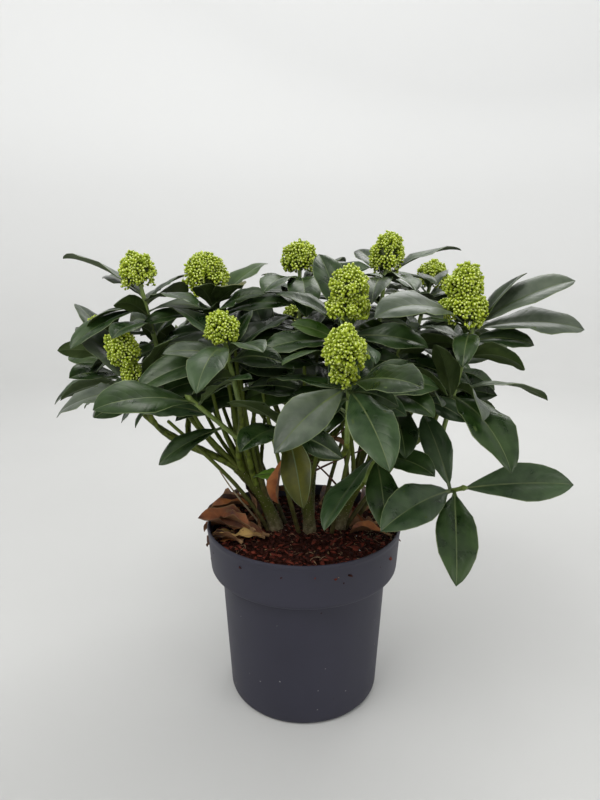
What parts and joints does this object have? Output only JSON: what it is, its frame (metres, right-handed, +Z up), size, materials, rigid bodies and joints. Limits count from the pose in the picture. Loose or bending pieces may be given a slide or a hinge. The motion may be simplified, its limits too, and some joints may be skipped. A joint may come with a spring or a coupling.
{
  "type": "potted skimmia shrub",
  "caption": "Small evergreen shrub in a round nursery pot: forking green stems, whorled glossy leaves and domed panicles of green buds.",
  "frame": {"origin": "centre of the pot's flat underside", "axes": "+Z up, +X to the plant's right and -Y to its front, where its lowest spray of leaves hangs out at the right"},
  "size_m": [0.44, 0.3756, 0.4075],
  "materials": {
    "pot_plastic": "matte slate grey",
    "compost": "moist bark compost",
    "bark": "warty green-brown bark",
    "green_bark": "smooth green bark",
    "leaves": "glossy dark green leaves, yellow-green buds",
    "dead_leaves": "dry brown leaves"
  },
  "bodies": {
    "root": {"pot": "pot_plastic", "stem_left": "bark", "stem_middle": "bark", "stem_right": "bark", "stem_back": "bark", "compost": "compost", "bough_left_top": "green_bark", "bough_left_inner": "green_bark", "bough_left_front": "green_bark", "bough_left_low": "green_bark", "bough_left_back": "green_bark", "bough_middle_top": "green_bark", "bough_middle_front": "green_bark", "bough_front_top": "green_bark", "bough_right_top": "green_bark", "bough_right_back": "green_bark", "bough_right_front": "green_bark", "bough_right_low": "green_bark", "bough_front_low": "green_bark", "bough_left_hanging": "green_bark", "bough_middle_low": "green_bark", "bough_back_left": "green_bark", "bough_back_middle": "green_bark", "bough_back_right": "green_bark", "bough_inner_left": "green_bark", "bough_inner_right": "green_bark", "bough_inner_back": "green_bark", "bough_outer_left": "green_bark", "bough_outer_right": "green_bark", "foliage_left_top": "leaves", "foliage_left_inner": "leaves", "foliage_left_front": "leaves", "foliage_left_low": "leaves", "foliage_left_back": "leaves", "foliage_middle_top": "leaves", "foliage_middle_front": "leaves", "foliage_front_top": "leaves", "foliage_right_top": "leaves", "foliage_right_back": "leaves", "foliage_right_front": "leaves", "foliage_right_low": "leaves", "foliage_front_low": "leaves", "foliage_left_hanging": "leaves", "foliage_middle_low": "leaves", "foliage_back_left": "leaves", "foliage_back_middle": "leaves", "foliage_back_right": "leaves", "foliage_inner_left": "leaves", "foliage_inner_right": "leaves", "foliage_inner_back": "leaves", "foliage_outer_left": "leaves", "foliage_outer_right": "leaves", "fallen_leaf_1": "dead_leaves", "fallen_leaf_2": "dead_leaves", "fallen_leaf_3": "dead_leaves", "fallen_leaf_4": "dead_leaves", "fallen_leaf_5": "dead_leaves", "fallen_leaf_6": "dead_leaves"}
  },
  "joints": []
}
